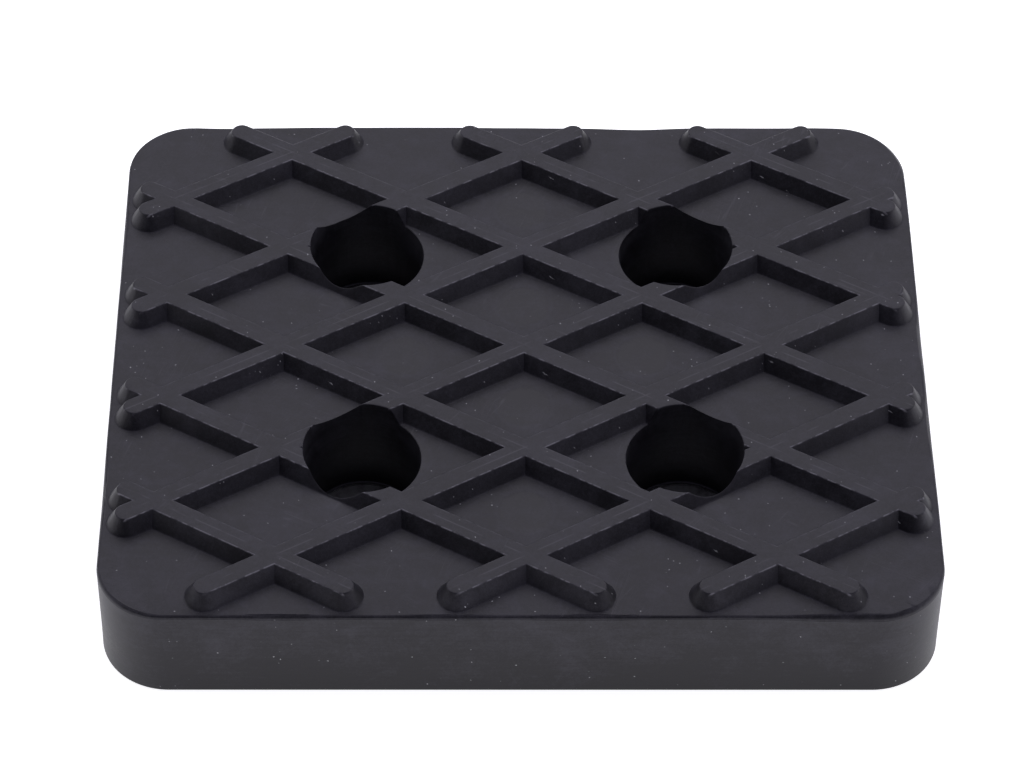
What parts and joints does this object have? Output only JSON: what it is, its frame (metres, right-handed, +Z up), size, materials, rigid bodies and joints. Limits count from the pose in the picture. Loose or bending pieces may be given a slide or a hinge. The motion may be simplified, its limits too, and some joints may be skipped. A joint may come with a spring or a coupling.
{
  "type": "rubber grip pad",
  "caption": "Thick rectangular rubber grip pad with rounded corners and a raised diamond tread, bonded over a steel plate and screwed down through counterbores.",
  "frame": {"origin": "centre of the underside, where the pad rests on what it is screwed to", "axes": "+X along the long side, +Y along the short side towards the back, +Z up through the tread"},
  "size_m": [0.12, 0.1, 0.0186],
  "materials": {
    "rubber": "black moulded rubber, satin, with faint mould and handling marks",
    "primed_steel": "flat steel under a thin black bonding primer, worn at the screw holes"
  },
  "bodies": {
    "root": {"rubber_pad": "rubber", "steel_backing_plate": "primed_steel"}
  },
  "joints": []
}
